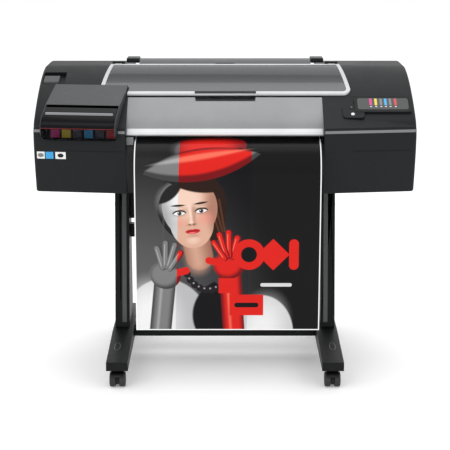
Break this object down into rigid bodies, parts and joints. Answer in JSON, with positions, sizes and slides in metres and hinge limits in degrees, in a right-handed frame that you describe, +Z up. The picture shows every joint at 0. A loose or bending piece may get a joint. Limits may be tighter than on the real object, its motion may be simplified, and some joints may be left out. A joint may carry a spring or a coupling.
{
  "type": "large format plotter",
  "caption": "Roll-fed large format plotter on a wheeled stand, with a hinged smoked window, ink station, roll cover, control pod and a hanging print.",
  "frame": {"origin": "on the floor, under the middle of the plotter's bounding box", "axes": "+X to the right of a person facing the front, +Y towards the back, +Z up; the front faces -Y"},
  "size_m": [1.262, 0.695, 1.047],
  "materials": {
    "stand": "satin powder coat",
    "bolt": "zinc plated",
    "caster_hood": "satin",
    "caster_tread": "satin",
    "pedal": "satin",
    "body": "fine texture",
    "dark_trim": "satin",
    "silver_panel": "satin silver",
    "window": "smoked",
    "silver_trim": "satin silver",
    "ink_housing": "fine texture",
    "ink_door": "smoked gloss",
    "ink_magenta": "satin",
    "ink_yellow": "satin",
    "ink_dark": "satin",
    "ink_cyan": "satin",
    "ink_red": "satin",
    "roll_cover": "satin",
    "screen": "gloss",
    "key": "satin",
    "white_key": "gloss",
    "chassis": "zinc plated",
    "rod": "ground",
    "carriage": "satin",
    "head": "satin",
    "belt": "satin",
    "pulley": "satin",
    "motor": "satin",
    "roller": "satin",
    "pinion": "satin",
    "paper": "gloss"
  },
  "bodies": {
    "plotter_frame": {"left_foot": "stand", "right_foot": "stand", "left_column": "stand", "right_column": "stand", "lower_cross_rail": "stand", "middle_cross_rail": "stand", "upper_cross_rail": "stand", "stand_bolts": "bolt", "base_pan": "dark_trim", "left_end_cover": "body", "right_end_cover": "body", "rear_cover": "body", "front_panel": "silver_panel", "front_apron": "dark_trim", "ink_housing": "ink_housing", "ink_bay": "dark_trim", "control_pod": "body", "display_screen": "screen", "chassis_frame": "chassis", "carriage_rods": "rod", "timing_belt": "belt", "drive_motors": "motor", "platen": "dark_trim", "service_station": "carriage", "printed_sheet": "paper", "electronics_box": "chassis"},
    "window": {"top_window": "window", "window_trim": "silver_trim"},
    "ink_door": {"ink_door": "ink_door"},
    "roll_cover": {"roll_cover": "roll_cover"},
    "pinch_lever": {"pinch_lever": "key"},
    "pinch_arms": {"pinch_arms": "chassis"},
    "pinch_rollers": {"pinch_rollers": "roller"},
    "feed_roller": {"feed_roller": "roller"},
    "feed_pinion": {"feed_pinion": "pinion"},
    "carriage": {"carriage": "carriage", "printheads": "head"},
    "drive_pulley": {"drive_pulley": "pulley"},
    "idler_pulley": {"idler_pulley": "pulley"},
    "roll": {"roll_spindle": "dark_trim", "media_roll": "paper"},
    "select_key": {"select_key": "key"},
    "power_button": {"power_button": "white_key"},
    "power_switch": {"power_switch": "dark_trim"},
    "cartridge_1": {"ink_cartridge_1": "ink_magenta"},
    "cartridge_2": {"ink_cartridge_2": "ink_yellow"},
    "cartridge_3": {"ink_cartridge_3": "ink_dark"},
    "cartridge_4": {"ink_cartridge_4": "ink_cyan"},
    "cartridge_5": {"ink_cartridge_5": "ink_dark"},
    "cartridge_6": {"ink_cartridge_6": "ink_red"},
    "front_left_caster": {"front_left_caster_hood": "caster_hood"},
    "front_left_wheels": {"front_left_caster_wheels": "caster_tread"},
    "front_right_caster": {"front_right_caster_hood": "caster_hood"},
    "front_right_wheels": {"front_right_caster_wheels": "caster_tread"},
    "rear_left_caster": {"rear_left_caster_hood": "caster_hood"},
    "rear_left_wheels": {"rear_left_caster_wheels": "caster_tread"},
    "rear_right_caster": {"rear_right_caster_hood": "caster_hood"},
    "rear_right_wheels": {"rear_right_caster_wheels": "caster_tread"},
    "left_pedal": {"left_brake_pedal": "pedal"},
    "right_pedal": {"right_brake_pedal": "pedal"}
  },
  "joints": [
    {"name": "window_hinge", "type": "hinge", "parent": "plotter_frame", "child": "window", "pos_m": [0, 0.118, 1.037], "axis": [-1, 0, 0], "range_deg": [0, 60]},
    {"name": "ink_door_hinge", "type": "hinge", "parent": "plotter_frame", "child": "ink_door", "pos_m": [-0.47022, -0.20962, 0.921], "axis": [-0.9916, 0.1297, 0], "range_deg": [0, 85]},
    {"name": "roll_cover_hinge", "type": "hinge", "parent": "plotter_frame", "child": "roll_cover", "pos_m": [0, 0.292, 0.95], "axis": [-1, 0, 0], "range_deg": [0, 100]},
    {"name": "pinch_arm_lift", "type": "hinge", "parent": "plotter_frame", "child": "pinch_arms", "pos_m": [0, 0.066, 0.856], "axis": [-1, 0, 0], "range_deg": [0, 6]},
    {"name": "pinch_lever_lift", "type": "hinge", "parent": "plotter_frame", "child": "pinch_lever", "pos_m": [-0.592, -0.03132, 0.98616], "axis": [1, 0, 0], "range_deg": [0, 36]},
    {"name": "feed_roller_spin", "type": "hinge", "parent": "plotter_frame", "child": "feed_roller", "pos_m": [0, 0.025, 0.83], "axis": [1, 0, 0], "continuous": true},
    {"name": "feed_pinion_spin", "type": "hinge", "parent": "plotter_frame", "child": "feed_pinion", "pos_m": [0.58, 0.0733, 0.83], "axis": [1, 0, 0], "continuous": true},
    {"name": "pinch_roller_spin", "type": "hinge", "parent": "pinch_arms", "child": "pinch_rollers", "pos_m": [0, 0.025, 0.8522], "axis": [1, 0, 0], "continuous": true},
    {"name": "carriage_slide", "type": "slide", "parent": "plotter_frame", "child": "carriage", "axis": [-1, 0, 0], "range_m": [0, 0.84]},
    {"name": "drive_pulley_spin", "type": "hinge", "parent": "plotter_frame", "child": "drive_pulley", "pos_m": [0.578, 0.064, 0.875], "axis": [0, 0, 1], "continuous": true},
    {"name": "idler_pulley_spin", "type": "hinge", "parent": "plotter_frame", "child": "idler_pulley", "pos_m": [-0.578, 0.064, 0.875], "axis": [0, 0, 1], "continuous": true},
    {"name": "cartridge_1_slide", "type": "slide", "parent": "plotter_frame", "child": "cartridge_1", "axis": [-0.1297, -0.9916, 0], "range_m": [0, 0.025]},
    {"name": "cartridge_2_slide", "type": "slide", "parent": "plotter_frame", "child": "cartridge_2", "axis": [-0.1297, -0.9916, 0], "range_m": [0, 0.025]},
    {"name": "cartridge_3_slide", "type": "slide", "parent": "plotter_frame", "child": "cartridge_3", "axis": [-0.1297, -0.9916, 0], "range_m": [0, 0.025]},
    {"name": "cartridge_4_slide", "type": "slide", "parent": "plotter_frame", "child": "cartridge_4", "axis": [-0.1297, -0.9916, 0], "range_m": [0, 0.025]},
    {"name": "cartridge_5_slide", "type": "slide", "parent": "plotter_frame", "child": "cartridge_5", "axis": [-0.1297, -0.9916, 0], "range_m": [0, 0.025]},
    {"name": "cartridge_6_slide", "type": "slide", "parent": "plotter_frame", "child": "cartridge_6", "axis": [-0.1297, -0.9916, 0], "range_m": [0, 0.025]},
    {"name": "roll_spin", "type": "hinge", "parent": "plotter_frame", "child": "roll", "pos_m": [0, 0.195, 0.957], "axis": [1, 0, 0], "continuous": true},
    {"name": "select_key_press", "type": "slide", "parent": "plotter_frame", "child": "select_key", "axis": [0, 0.5255, -0.8508], "range_m": [0, 0.0014], "stiffness_N_per_m": 400, "springref_m": -0.0005},
    {"name": "power_button_press", "type": "slide", "parent": "plotter_frame", "child": "power_button", "axis": [0, 0.5255, -0.8508], "range_m": [0, 0.0014], "stiffness_N_per_m": 400, "springref_m": -0.0005},
    {"name": "power_switch_rock", "type": "hinge", "parent": "plotter_frame", "child": "power_switch", "pos_m": [0.426, 0.278, 0.734], "axis": [1, 0, 0], "range_deg": [0, 14]},
    {"name": "front_left_swivel", "type": "hinge", "parent": "plotter_frame", "child": "front_left_caster", "pos_m": [-0.361, -0.298, 0.058], "axis": [0, 0, 1], "continuous": true},
    {"name": "front_left_roll", "type": "hinge", "parent": "front_left_caster", "child": "front_left_wheels", "pos_m": [-0.361, -0.318, 0.025], "axis": [1, 0, 0], "continuous": true},
    {"name": "front_right_swivel", "type": "hinge", "parent": "plotter_frame", "child": "front_right_caster", "pos_m": [0.361, -0.298, 0.058], "axis": [0, 0, 1], "continuous": true},
    {"name": "front_right_roll", "type": "hinge", "parent": "front_right_caster", "child": "front_right_wheels", "pos_m": [0.361, -0.318, 0.025], "axis": [1, 0, 0], "continuous": true},
    {"name": "rear_left_swivel", "type": "hinge", "parent": "plotter_frame", "child": "rear_left_caster", "pos_m": [-0.361, 0.298, 0.058], "axis": [0, 0, 1], "continuous": true},
    {"name": "rear_left_roll", "type": "hinge", "parent": "rear_left_caster", "child": "rear_left_wheels", "pos_m": [-0.361, 0.278, 0.025], "axis": [1, 0, 0], "continuous": true},
    {"name": "rear_right_swivel", "type": "hinge", "parent": "plotter_frame", "child": "rear_right_caster", "pos_m": [0.361, 0.298, 0.058], "axis": [0, 0, 1], "continuous": true},
    {"name": "rear_right_roll", "type": "hinge", "parent": "rear_right_caster", "child": "rear_right_wheels", "pos_m": [0.361, 0.278, 0.025], "axis": [1, 0, 0], "continuous": true},
    {"name": "left_pedal_lift", "type": "hinge", "parent": "front_left_caster", "child": "left_pedal", "pos_m": [-0.361, -0.285, 0.046], "axis": [1, 0, 0], "range_deg": [0, 12]},
    {"name": "right_pedal_lift", "type": "hinge", "parent": "front_right_caster", "child": "right_pedal", "pos_m": [0.361, -0.285, 0.046], "axis": [1, 0, 0], "range_deg": [0, 12]}
  ],
  "couplings": [
    {"joint": "pinch_lever_lift", "follows": "pinch_arm_lift", "ratio": 6},
    {"joint": "feed_pinion_spin", "follows": "feed_roller_spin", "ratio": -3},
    {"joint": "pinch_roller_spin", "follows": "feed_roller_spin", "ratio": -2.5},
    {"joint": "drive_pulley_spin", "follows": "carriage_slide", "rad_per_m": -78.125},
    {"joint": "idler_pulley_spin", "follows": "carriage_slide", "rad_per_m": -78.125}
  ]
}
